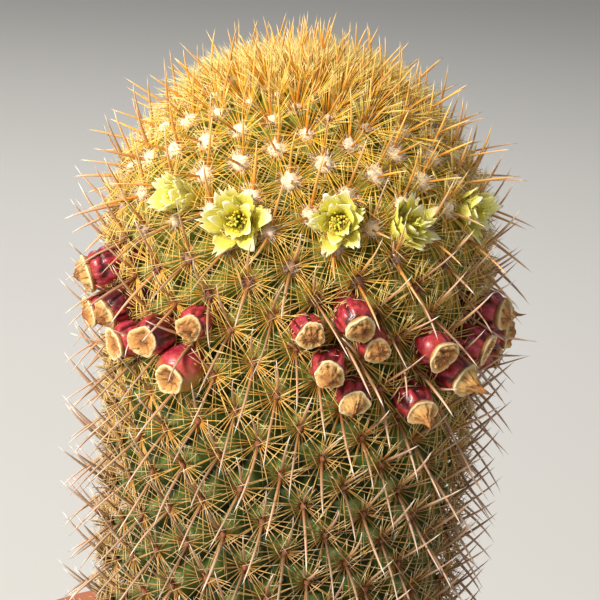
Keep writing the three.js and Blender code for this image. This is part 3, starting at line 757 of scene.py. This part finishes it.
def berry_shape(berry):
    """A berry: a creased skin like a raisin's, and on its end the dried rest of the flower.

    The skin's radius is a smooth curve over the height less its creases. They follow relief that
    is drawn out along the berry, so most of them run lengthwise. The cap is wrapped on the end:
    a ragged pale rim, and within it a low cone of crumpled fibres, flat on some berries and drawn
    out to a withered tail on others.
    """
    key = berry.axil
    turn = turns(BERRY_COLUMNS)
    share = np.linspace(0, 1, BERRY_ROWS)[:, None]
    height = 0.5 + 7.3 * share
    places = [0.5, 2.2, 4.4, 5.7, 6.8, 7.5, 7.8]
    swell = [0.25, 1.0, 1.95, 2.25, 2.2, 1.95, 1.7]
    if berry.plump:
        swell = [0.25, 1.3, 2.05, 2.2, 1.95, 1.5, 1.25]
    body = bent_curve(height, places, swell)
    drawn_out = turned(2.2, 0.42 * height + 7.1 * key, turn)
    broad, fine = folds(drawn_out, 1.25, 91), folds(drawn_out * [1, 1, 1.7], 0.62, 92)
    wrinkled = 0.06 if berry.plump else 1.0
    swelling = 0.16 * lumps(drawn_out, 1.6, 93)
    relief = swelling - 0.42 * broad - 0.16 * fine
    radius = body + wrinkled * np.sin(np.pi * share) ** 0.35 * relief
    crease = wrinkled * np.minimum(0.8 * broad + 0.45 * fine, 1)
    skin = wrapped(turned(radius, height, turn), marks=stacked(share, crease, chance(key, 99)))

    # The cap: under the rim, then over it, then inwards and up to the tip
    phase = 2 * np.pi * chance(key, np.arange(101, 106))
    tail = chance(key, 106) > 0.72 and not berry.plump
    tall = 0.25 if berry.plump else 3.6 if tail else 0.3 + 1.5 * chance(key, 107) ** 1.2
    inward = np.linspace(0, 1, 13)[1:]
    left = 1 - inward
    narrow = left**2.4 * 0.86 + 0.14 * left**0.6 if tail else left**0.85
    wide = np.concatenate([[1.55, 1.82, 1.93, 1.84, 1.66], 1.66 * narrow])[:, None]
    wide = wide * (PLUMP_CAP_SHARE if berry.plump else 1.0)
    rising = 8.46 + tall * inward ** (1.0 if tail else 0.7)
    high = np.concatenate([[7.6, 8.1, 8.4, 8.58, 8.46], rising])[:, None]
    place = np.concatenate([[0.0, 0.12, 0.25, 0.33, 0.4], 0.4 + 0.6 * inward])[:, None]
    uneven = 0.4 if berry.plump else 1.0
    outline = 1 + uneven * (0.09 * np.cos(2 * turn + phase[0]) + 0.07 * np.cos(3 * turn + phase[1]))
    outline = outline + 0.04 * np.cos(5 * turn + phase[2])
    outline = outline + spread(np.arange(BERRY_COLUMNS) + key, 108, 0.045)
    radius = wide * (1 + (outline - 1) * eased(place, 0.0, 0.2))
    height = high + 0.22 * np.cos(turn + phase[3]) * eased(place, 0.1, 0.3) * wide / 1.9
    cap = turned(radius, height, turn)
    crumple = 0.7 * lumps(cap + 5.3 * key, 0.6, 109) + 0.5 * lumps(cap + 5.3 * key, 0.3, 110)
    fibres = np.sin(9 * turn + phase[1] + 2 * lumps(cap + key, 1.6, 112))
    fibres = fibres + np.sin(17 * turn + phase[2] + 4 * place)
    crumple = crumple + 0.45 * fibres * (1.15 - place)
    inner = eased(place, 0.34, 0.46)
    sunk = 0.0 if tail else (0.1 + 0.55 * chance(key, 111)) * eased(place, 0.42, 0.75)
    height = height + 0.36 * crumple * inner - sunk
    cap = turned(radius * (1 + 0.14 * crumple * inner), height, turn)
    bend = 1.1 * eased(place, 0.5, 1.6) * (2.2 if tail else 0.4)
    cap = cap + level_way(phase[4]) * bend[..., None]
    marks = stacked(place, np.clip(0.5 + 0.5 * crumple, 0, 1), chance(key, 102))
    made = joined([skin, wrapped(cap, marks=marks, finish=1)])
    made.points = made.points * [berry.width, berry.width, berry.scale]
    return made


# Pot and soil


def rounded(corners, radius, steps=5):
    """A closed line of points with each corner turned into an arc, a curve bent through it."""
    corners = np.array(corners, float)
    before, after = np.roll(corners, 1, 0) - corners, np.roll(corners, -1, 0) - corners
    t = np.linspace(0, 1, steps)[:, None]

    def cut(towards):
        long = np.linalg.norm(towards, axis=1, keepdims=True)
        return corners + towards * np.minimum(radius / long, 0.45)

    start, end = cut(before), cut(after)
    arcs = (1 - t) ** 2 * start[:, None] + 2 * t * (1 - t) * corners[:, None] + t**2 * end[:, None]
    return arcs.reshape(-1, 2)


def pot_wall(height):
    """Outer radius of the wall below the band."""
    return POT_FOOT_RADIUS + (POT_WALL_TOP_RADIUS - POT_FOOT_RADIUS) * height / POT_HEIGHT


def pot_shape():
    """The clay pot: a rounded section turned about Z, closed on itself."""
    band = POT_HEIGHT - POT_BAND_HEIGHT
    corners = [
        [DRAIN_RADIUS, 0.0],
        [pot_wall(0), 0.0],
        [pot_wall(band), band],
        [POT_BAND_RADIUS, band],
        [POT_RADIUS, POT_HEIGHT],
        [pot_wall(POT_HEIGHT) - POT_WALL, POT_HEIGHT],
        [pot_wall(POT_FLOOR) - POT_WALL, POT_FLOOR],
        [DRAIN_RADIUS, POT_FLOOR],
    ]
    line = rounded(corners, 1.1)
    gaps = np.linalg.norm(np.roll(line, -1, 0) - line, axis=1)
    pieces = np.maximum(np.round(gaps / 3.0).astype(int), 1)
    way = np.concatenate([i + np.arange(n) / n for i, n in enumerate(pieces)])
    closed = np.vstack([line, line[:1]])
    line = np.column_stack([np.interp(way, np.arange(len(closed)), closed[:, i]) for i in range(2)])
    radius, height = np.hsplit(line, 2)
    rings = turned(radius, height, turns(POT_COLUMNS))
    worn = 0.06 * (lumps(rings, 6.0, 111) - 1) * (radius > 30)
    rings[..., :2] *= (1 + worn / radius)[..., None]
    here = np.arange(len(line) * POT_COLUMNS).reshape(-1, POT_COLUMNS)
    right, above = np.roll(here, -1, 1), np.roll(here, -1, 0)
    quads = np.stack([here, right, np.roll(above, -1, 1), above], -1).reshape(-1, 4)
    return shape(rings.reshape(-1, 3), quads, np.empty((0, 3), int))


def soil_shape():
    """The soil: a turned section with a rough top that is highest round the plant."""
    low = POT_FLOOR + SOIL_GAP
    wall = pot_wall(np.array([low, SOIL_TOP])) - POT_WALL - SOIL_GAP
    top = np.linspace(wall[1], NECK_RADIUS + SOIL_GAP, 46)
    outline = np.vstack([
        [[DRAIN_RADIUS, low], [wall[0], low]],
        np.column_stack([top, np.interp(top, [28.0, wall[1]], [SOIL_TOP, SOIL_TOP - 0.7])]),
        [[FOOT_RADIUS + SOIL_GAP, SOIL_TOP - FOOT_BELOW_SOIL - SOIL_GAP]],
    ])  # fmt: skip
    radius, height = np.hsplit(outline, 2)
    rings = turned(radius, height, turns(SOIL_COLUMNS))
    rough = 0.45 * lumps(rings, 3.2, 121) + 0.3 * lumps(rings, 1.3, 122)
    on_top = np.zeros(len(outline))
    on_top[3:-2] = 1
    rings[..., 2] += rough * on_top[:, None]
    return wrapped(rings)


def stones_shape():
    """Grit: small rounded stones scattered over the soil, each a lumpy flattened ball."""
    rows, columns = 5, 8
    index = np.arange(STONES)
    size = 0.55 + 1.15 * chance(index, 131) ** 2
    outer = pot_wall(SOIL_TOP) - POT_WALL - 1.0
    inner = NECK_RADIUS + 1.6
    reach = np.sqrt(inner**2 + (outer**2 - inner**2) * chance(index, 132)) - size * 0.5
    bearing = 2 * np.pi * chance(index, 133)
    ground = SOIL_TOP - 0.7 * eased(reach, 28, outer)
    centre = turned(reach, ground + size * 0.15, bearing)
    polar = (np.pi * (np.arange(rows) + 0.5) / rows - np.pi / 2)[:, None]
    ball = turned(np.cos(polar), np.sin(polar), turns(columns)).reshape(-1, 3)
    ball = np.concatenate([ball, [[0, 0, -1.0], [0, 0, 1.0]]])
    long, broad, tall = spread(index, 134, 0.3), spread(index, 135, 0.3), spread(index, 136, 0.15)
    stretch = stacked(1 + long, 1 + broad, 0.7 + tall)
    points = ball[None] * stretch[:, None]
    points = points * (1 + 0.28 * lumps(points + index[:, None, None] * 3.7, 0.9, 137))[..., None]
    spin = 2 * np.pi * chance(index, 138)[:, None]
    x, y, z = np.moveaxis(points, -1, 0)
    points = turned(x, z, spin) + turned(y, 0.0, spin + np.pi / 2)
    points = points * size[:, None, None] + centre[:, None]
    marks = np.repeat(stacked(chance(index, 139), chance(index, 140), size), points.shape[1], axis=0)
    return alike(points, *ring_faces(rows, columns), marks)


# Finishes


def paint(red, green, blue):
    """A colour given on the 0 to 255 scale of a screen, as linear light."""
    share = np.array([red, green, blue]) / 255
    linear = np.where(share <= 0.04045, share / 12.92, ((share + 0.055) / 1.055) ** 2.4)
    return (*linear.tolist(), 1.0)


class Finish:
    """A material put together node by node round one shader."""

    def __init__(self, name, roughness=0.6, **sockets):
        self.material = bpy.data.materials.new(name)
        self.material.use_nodes = True
        self.tree = self.material.node_tree
        self.shader = self.tree.nodes["Principled BSDF"]
        self.shader.inputs["Roughness"].default_value = roughness
        for socket, value in sockets.items():
            self.shader.inputs[socket.replace("_", " ")].default_value = value
        self.where = self.node("ShaderNodeTexCoord").outputs["Object"]

    def node(self, kind, wired=(), **settings):
        """A node with its settings, and its inputs joined or set in order."""
        made = self.tree.nodes.new(kind)
        for name, value in settings.items():
            setattr(made, name, value)
        for socket, value in dict(wired).items():
            if isinstance(value, bpy.types.NodeSocket):
                self.tree.links.new(value, made.inputs[socket])
            else:
                made.inputs[socket].default_value = value
        return made

    def noise(self, size, detail=3.0, rough=0.55, at=None):
        """Cloudy noise from 0 to 1, whose patches are about this many millimetres."""
        wired = {"Vector": at or self.where, "Scale": 1 / (size * MM)}
        wired |= {"Detail": detail, "Roughness": rough}
        return self.node("ShaderNodeTexNoise", wired).outputs["Fac"]

    def ramp(self, factor, stops):
        """A colour that runs through the stops: a screen colour at each place."""
        made = self.node("ShaderNodeValToRGB", {"Fac": factor})
        band = made.color_ramp.elements
        while len(band) < len(stops):
            band.new(0.5)
        for element, (place, colour) in zip(band, stops.items()):
            element.position = place
            element.color = paint(*colour)
        return made.outputs["Color"]

    def step(self, value, low, high):
        """0 below low, 1 above high, smooth between."""
        wired = {"Value": value, "From Min": low, "From Max": high}
        made = self.node("ShaderNodeMapRange", wired, interpolation_type="SMOOTHSTEP")
        return made.outputs["Result"]

    def span(self, value, low, high):
        """A value from 0 to 1 stretched to run from low to high."""
        wired = {"Value": value, "To Min": low, "To Max": high}
        return self.node("ShaderNodeMapRange", wired).outputs["Result"]

    def math(self, operation, first, second=0.0):
        """Plain arithmetic on two values."""
        return self.node("ShaderNodeMath", {0: first, 1: second}, operation=operation).outputs[0]

    def plus(self, first, second):
        """Two values added."""
        return self.math("ADD", first, second)

    def times(self, first, second):
        """Two values multiplied."""
        return self.math("MULTIPLY", first, second)

    def depth_below(self, level):
        """How many millimetres a point lies below a level."""
        z = self.node("ShaderNodeSeparateXYZ", {0: self.where}).outputs[2]
        return self.times(self.math("SUBTRACT", level * MM, z), 1 / MM)

    def mix(self, factor, first, second, kind="MIX"):
        """Two colours mixed by a factor."""
        wired = {"Factor": factor, 6: first, 7: second}
        return self.node("ShaderNodeMix", wired, data_type="RGBA", blend_type=kind).outputs[2]

    def marks(self):
        """The three marks that the shape carries."""
        read = self.node("ShaderNodeAttribute", attribute_name="marks").outputs["Vector"]
        return tuple(self.node("ShaderNodeSeparateXYZ", {0: read}).outputs)

    def feed(self, input_name, socket):
        """Joins a socket to one of the shader's inputs."""
        self.tree.links.new(socket, self.shader.inputs[input_name])

    def colour(self, socket):
        """Joins the colour."""
        self.feed("Base Color", socket)

    def roughness(self, socket):
        """Joins the roughness."""
        self.feed("Roughness", socket)

    def bump(self, height, depth, strength=1.0):
        """Relief this many millimetres deep."""
        wired = {"Height": height, "Distance": depth * MM, "Strength": strength}
        self.feed("Normal", self.node("ShaderNodeBump", wired).outputs["Normal"])


def skin_finish():
    """Green skin, darker in the axils with painted shade and paler at the tips, corky and brown low down.
    """
    made = Finish("stem_skin", 0.5)
    tip, age, _ = made.marks()
    # Low values of tip lie in the valleys between tubercles, where both ramps darken the green as painted
    # shade
    young = made.ramp(tip, {0.0: (92, 108, 24), 0.3: (144, 160, 46), 1.0: (196, 200, 104)})
    old = made.ramp(tip, {0.0: (30, 40, 10), 0.3: (70, 98, 26), 1.0: (122, 142, 62)})
    green = made.mix(made.step(age, 0.08, 0.5), young, old)
    cloud = made.noise(2.2, 4.0)
    tinted = made.mix(1.0, green, paint(215, 205, 130), "MULTIPLY")
    green = made.mix(made.span(cloud, 0.0, 0.7), green, tinted)
    bloom = made.step(made.plus(made.noise(1.4, 4.0, 0.6), made.times(tip, 0.35)), 0.62, 0.85)
    green = made.mix(made.times(bloom, 0.35), green, paint(164, 172, 116))
    cork = made.mix(made.noise(0.7, 5.0), paint(122, 104, 70), paint(176, 158, 112))
    low = made.step(age, 0.5, 1.05)
    spots = made.step(made.plus(made.noise(4.0, 5.0, 0.7), made.times(low, 0.22)), 0.62, 0.72)
    made.colour(made.mix(made.times(spots, low), green, cork))
    made.roughness(made.span(made.noise(0.9, 4.0), 0.5, 0.8))
    made.bump(made.noise(0.35, 5.0, 0.65), 0.12, 0.7)
    return made.material


def spine_finish(name, young, middle, old, roughness=0.42, tint=(0.78, 1.16)):
    """Horn-like spines coloured by their own map: age across it, and root to tip within each kind."""
    made = Finish(name, roughness, Subsurface_Weight=0.12, Subsurface_Scale=0.0004)
    place = made.node("ShaderNodeUVMap", uv_map="OFBake").outputs["UV"]
    age, height, _ = made.node("ShaderNodeSeparateXYZ", {0: place}).outputs
    height = made.times(height, float(KINDS))
    kind = made.math("DIVIDE", made.math("FLOOR", height), KINDS - 1.0)
    along = made.span(made.math("FRACT", height), -KIND_MARGIN, 1 + KIND_MARGIN)
    upper = made.mix(made.step(age, 0.04, 0.24), made.ramp(along, young), made.ramp(along, middle))
    shade = made.mix(made.step(age, 0.30, 0.56), upper, made.ramp(along, old))
    light = made.span(kind, *tint)
    grey = made.node("ShaderNodeCombineXYZ", {0: light, 1: light, 2: light}).outputs[0]
    made.colour(made.mix(1.0, shade, grey, "MULTIPLY"))
    grain = made.noise(60.0, 3.0, at=place)
    made.roughness(made.span(grain, roughness - 0.1, roughness + 0.2))
    return made.material


def wool_finish():
    """White wool on young areoles, tan to dark brown felt on old ones."""
    made = Finish("areole_wool", 0.95, Sheen_Weight=0.25)
    place = made.node("ShaderNodeUVMap", uv_map="OFBake").outputs["UV"]
    age, height, _ = made.node("ShaderNodeSeparateXYZ", {0: place}).outputs
    along = made.math("FRACT", made.times(height, float(KINDS)))
    # Both ramps run darker at the fibres' roots and low on the pads, paler out at the tips: painted shade
    # within the tuft
    fresh = made.ramp(along, {0.0: (232, 200, 158), 0.5: (244, 224, 194), 1.0: (252, 242, 224)})
    worn = made.ramp(along, {0.0: (96, 48, 24), 0.6: (136, 78, 44), 1.0: (172, 118, 84)})
    made.colour(made.mix(made.step(age, 0.2, 0.9), fresh, worn))
    made.roughness(made.span(made.noise(80.0, 2.0, at=place), 0.85, 1.0))
    return made.material


def petal_finish():
    """Pale greenish yellow petals with a greener middle and throat and nearly white torn tips."""
    made = Finish("petal", 0.5, Subsurface_Weight=0.35, Subsurface_Scale=0.0015)
    made.shader.inputs["Subsurface Radius"].default_value = (1.0, 0.9, 0.35)
    edge, along, one = made.marks()
    length = made.ramp(along, {
        0.0: (196, 206, 48),
        0.25: (228, 224, 72),
        0.68: (246, 238, 112),
        0.92: (255, 252, 206),
    })  # fmt: skip
    rib = made.times(made.step(made.math("SUBTRACT", 1.0, edge), 0.72, 1.0), 0.3)
    rib = made.times(rib, made.step(made.math("SUBTRACT", 1.0, along), 0.05, 0.6))
    shade = made.mix(rib, length, paint(176, 182, 66))
    across = made.node("ShaderNodeCombineXYZ", {0: edge, 1: 0.0}).outputs[0]
    wired = {"Vector": across, "Scale": 2.2, "Distortion": 0.6}
    veins = made.node("ShaderNodeTexWave", wired).outputs["Fac"]
    shade = made.mix(made.times(veins, 0.08), shade, paint(214, 204, 70))
    tinted = made.mix(1.0, shade, paint(248, 234, 200), "MULTIPLY")
    shade = made.mix(made.times(one, 0.15), shade, tinted)
    made.colour(shade)
    made.roughness(made.span(made.noise(0.6, 3.0), 0.4, 0.65))
    made.bump(made.plus(veins, made.noise(0.5, 3.0)), 0.03, 0.4)
    return made.material


def pollen_finish():
    """Greenish filaments that end in yellow anthers."""
    made = Finish("stamen", 0.7, Subsurface_Weight=0.2, Subsurface_Scale=0.0004)
    _, along, stigma = made.marks()
    yellow = made.ramp(along, {0.0: (190, 196, 84), 0.6: (226, 208, 92), 0.8: (240, 206, 58)})
    made.colour(made.mix(made.times(stigma, 0.8), yellow, paint(206, 212, 96)))
    made.roughness(made.span(made.noise(0.2, 2.0), 0.55, 0.85))
    made.bump(made.noise(0.12, 2.0), 0.03, 0.6)
    return made.material


def berry_finish(name, green_below=None):
    """Crimson skin under a waxy coat, with painted shade in its creases and patches of painted pink
    highlight; the plump berry is green below.
    """
    waxy = {"Coat_Weight": 0.25, "Coat_Roughness": 0.2}
    made = Finish(name, 0.32, Subsurface_Weight=0.2, Subsurface_Scale=0.0008, **waxy)
    made.shader.inputs["Subsurface Radius"].default_value = (1.0, 0.25, 0.2)
    height, crease, one = made.marks()
    red = made.mix(one, paint(142, 20, 30), paint(156, 26, 56))
    red = made.mix(made.times(made.step(height, 0.7, 1.0), 0.7), red, paint(190, 64, 44))
    cloud = made.step(made.noise(0.9, 5.0, 0.65), 0.42, 0.7)
    # Painted highlight: cloudy patches of pink over the red
    shade = made.mix(made.times(cloud, 0.75), red, paint(216, 84, 112))
    # Painted shade: the creases darkened to a deep red
    shade = made.mix(made.step(crease, 0.05, 0.8), shade, paint(74, 8, 20))
    if green_below:
        slant = made.plus(made.noise(2.4, 3.0), made.times(made.depth_below(green_below), 0.22))
        ripe = made.mix(made.noise(1.2, 3.0), paint(124, 122, 34), paint(176, 100, 44))
        shade = made.mix(made.step(slant, 0.05, 0.6), shade, ripe)
    made.colour(shade)
    made.roughness(made.span(made.noise(0.8, 4.0), 0.22, 0.5))
    made.bump(made.noise(0.5, 4.0, 0.6), 0.14, 0.6)
    return made.material


def cap_finish():
    """Dried flower remains: straw outside with a pale rim, and brown fibres within, darkened in their
    hollows by painted shade.
    """
    made = Finish("berry_cap", 0.8)
    place, rib, one = made.marks()
    shade = made.ramp(place, {
        0.0: (150, 92, 50),
        0.16: (206, 158, 96),
        0.26: (250, 236, 192),
        0.36: (248, 224, 168),
        0.46: (228, 180, 108),
        0.74: (190, 130, 66),
        1.0: (112, 64, 30),
    })  # fmt: skip
    fibre = made.noise(0.25, 6.0, 0.75)
    # Painted shade: the hollows between the crumpled fibres darkened to brown
    painted_hollow_shade = made.step(made.plus(rib, made.times(fibre, 0.5)), 0.92, 0.4)
    painted_hollow_shade = made.times(painted_hollow_shade, made.step(place, 0.38, 0.5))
    shade = made.mix(made.times(painted_hollow_shade, 0.85), shade, paint(116, 66, 30))
    shade = made.mix(made.step(fibre, 0.56, 0.68), shade, paint(246, 216, 156))
    shade = made.mix(made.span(one, 0.0, 0.3), shade, paint(214, 146, 84))
    made.colour(shade)
    made.roughness(made.span(fibre, 0.65, 0.95))
    made.bump(fibre, 0.22, 0.9)
    return made.material


def soil_finish():
    """Dark gritty soil."""
    made = Finish("soil", 0.95)
    grain = made.noise(0.9, 6.0, 0.7)
    shade = made.ramp(grain, {0.3: (40, 30, 22), 0.5: (74, 57, 42), 0.7: (112, 92, 70)})
    made.colour(made.mix(made.step(made.noise(0.5, 2.0), 0.62, 0.7), shade, paint(150, 136, 116)))
    made.roughness(made.span(grain, 0.85, 1.0))
    made.bump(grain, 0.5, 0.9)
    return made.material


def stone_finish():
    """Grit of mixed stones: grey, tan, brick and nearly black."""
    made = Finish("grit", 0.85)
    one, other, _ = made.marks()
    shade = made.ramp(one, {
        0.0: (74, 66, 60),
        0.25: (128, 118, 106),
        0.5: (168, 150, 122),
        0.75: (150, 108, 80),
        1.0: (196, 188, 176),
    })  # fmt: skip
    speck = made.noise(0.5, 5.0, 0.7)
    made.colour(made.mix(made.span(speck, -0.2, 0.9), shade, made.mix(0.5, shade, paint(60, 52, 46))))
    made.roughness(made.span(other, 0.7, 0.95))
    made.bump(speck, 0.2, 0.8)
    return made.material


def clay_finish():
    """Unglazed clay: warm brown red with fine sand and a dusty bloom."""
    made = Finish("clay", 0.85)
    cloud = made.noise(26.0, 4.0, 0.6)
    grain = made.noise(1.1, 5.0, 0.7)
    shade = made.mix(cloud, paint(172, 96, 62), paint(196, 122, 84))
    shade = made.mix(made.step(grain, 0.55, 0.75), shade, paint(150, 80, 52))
    dust = made.step(made.noise(14.0, 6.0, 0.65), 0.56, 0.72)
    shade = made.mix(made.times(dust, 0.35), shade, paint(214, 178, 150))
    wired = {"Vector": made.where, "Scale": 160.0, "Distortion": 1.2}
    lines = made.node("ShaderNodeTexWave", wired, bands_direction="Z")
    made.colour(shade)
    made.roughness(made.span(grain, 0.72, 0.95))
    made.bump(made.plus(grain, made.times(lines.outputs["Fac"], 0.25)), 0.25, 0.6)
    return made.material


def floor_finish():
    """Plain pale floor."""
    made = Finish("floor", 0.9)
    made.colour(made.mix(made.noise(300.0, 2.0), paint(212, 210, 205), paint(219, 217, 213)))
    return made.material


# Young, middle-aged and old spines, from root to tip
CENTRAL_COLOURS = [
    {0.0: (190, 110, 28), 0.3: (226, 152, 44), 0.75: (240, 186, 90), 1.0: (248, 224, 176)},
    {0.0: (150, 92, 46), 0.3: (184, 134, 88), 0.75: (214, 180, 152), 0.96: (250, 240, 230)},
    {0.0: (124, 84, 52), 0.3: (164, 128, 94), 0.7: (198, 168, 144), 0.96: (244, 234, 224)},
]
RADIAL_COLOURS = [
    {0.0: (238, 170, 36), 0.5: (250, 204, 74), 1.0: (255, 240, 172)},
    {0.0: (216, 152, 56), 0.5: (234, 192, 92), 1.0: (250, 236, 184)},
    {0.0: (170, 118, 50), 0.5: (196, 158, 92), 1.0: (238, 222, 188)},
]


# Build

wool = wool_finish()
centrals = spine_finish("central_spine", *CENTRAL_COLOURS)
radials = spine_finish("radial_spine", *RADIAL_COLOURS)
petal, stamen = petal_finish(), pollen_finish()
cap = cap_finish()
plump_low, plump_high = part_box(berries[BERRY_AXILS.index(PLUMP_BERRY_AXIL)].name)
ripe_skin = berry_finish("berry_skin")
half_ripe_skin = berry_finish("berry_skin_half_ripe", (plump_low.z + plump_high.z) / 2 / MM)

add_piece("stem_skin", stem_skin_shape(), [skin_finish()], ["stem"])
add_piece("central_spines", central_spines_shape(), [centrals], ["stem"])
half = int(np.sum(areoles.depth < UPPER_RADIALS_DEPTH))
upper = radial_spines_shape(0, half)
lower = radial_spines_shape(half, len(areoles.depth))
add_piece("radial_spines_upper", upper, [radials], ["stem"])
add_piece("radial_spines_lower", lower, [radials], ["stem"])
add_piece("areole_pads", areole_pads_shape(), [wool], ["stem"])
add_piece("areole_wool", wool_fibres_shape(), [wool], ["stem"])
for i, flower in enumerate(flowers):
    made = seated(flower_shape(i), flower)
    add_piece("bloom_" + flower.name, made, [petal, stamen], [flower.name])
for berry in berries:
    skin = half_ripe_skin if berry.plump else ripe_skin
    made = seated(berry_shape(berry), berry)
    add_piece("fruit_" + berry.name, made, [skin, cap], [berry.name])
add_piece("clay_pot", pot_shape(), [clay_finish()], ["pot"])
add_piece("soil_fill", soil_shape(), [soil_finish()], ["soil"])
add_piece("grit_stones", stones_shape(), [stone_finish()])


# Floor, light and camera


def add_floor():
    """A wide pale floor under the pot."""
    mesh = bpy.data.meshes.new("floor")
    corners = [(-3, -3, 0), (3, -3, 0), (3, 3, 0), (-3, 3, 0)]
    mesh.from_pydata(corners, [], [(0, 1, 2, 3)])
    mesh.materials.append(floor_finish())
    floor = bpy.data.objects.new("floor", mesh)
    bpy.context.scene.collection.objects.link(floor)


def add_lamp(name, place, size, power, colour=(1, 1, 1)):
    """A square soft lamp that faces the plant; places in metres."""
    lamp = bpy.data.lights.new(name, "AREA")
    lamp.size, lamp.energy, lamp.color = size, power, colour
    holder = bpy.data.objects.new(name, lamp)
    holder.location = place
    holder.rotation_euler = (Vector(LAMP_TARGET) - Vector(place)).to_track_quat("-Z", "Y").to_euler()
    bpy.context.scene.collection.objects.link(holder)


def add_camera():
    """The photograph's view: a long lens from a little above, its frame 83 mm wide at the stem."""
    camera = bpy.data.cameras.new("camera")
    camera.sensor_width = 36
    camera.lens = camera.sensor_width * CAMERA_DISTANCE / CAMERA_FRAME_WIDTH
    camera.clip_start, camera.clip_end = 0.01, 20
    rise, roll = np.radians([CAMERA_RISE, CAMERA_ROLL])
    back = Vector((0, -np.cos(rise), np.sin(rise)))
    holder = bpy.data.objects.new("camera", camera)
    facing = (-back).to_track_quat("-Z", "Y").to_matrix() @ Matrix.Rotation(roll, 3, "Z")
    place = Vector(CAMERA_TARGET) + back * CAMERA_DISTANCE
    holder.matrix_world = Matrix.Translation(place) @ facing.to_4x4()
    bpy.context.scene.collection.objects.link(holder)
    bpy.context.scene.camera = holder


def add_sky():
    """Pale even light from all round."""
    world = bpy.data.worlds.new("studio")
    world.use_nodes = True
    sky = world.node_tree.nodes["Background"]
    sky.inputs["Color"].default_value = (0.93, 0.95, 1.0, 1)
    sky.inputs["Strength"].default_value = 0.2
    bpy.context.scene.world = world


add_floor()
add_lamp("key_light", (-0.55, -0.5, 0.62), 0.2, 13.0, (1.0, 0.94, 0.84))
add_lamp("fill_light", (0.6, -0.5, 0.35), 0.6, 0.8, (0.97, 0.98, 1.0))
add_lamp("back_light", (-0.1, 0.6, 0.6), 0.5, 2.5)
add_sky()
add_camera()
bpy.context.scene.view_settings.view_transform = "Standard"
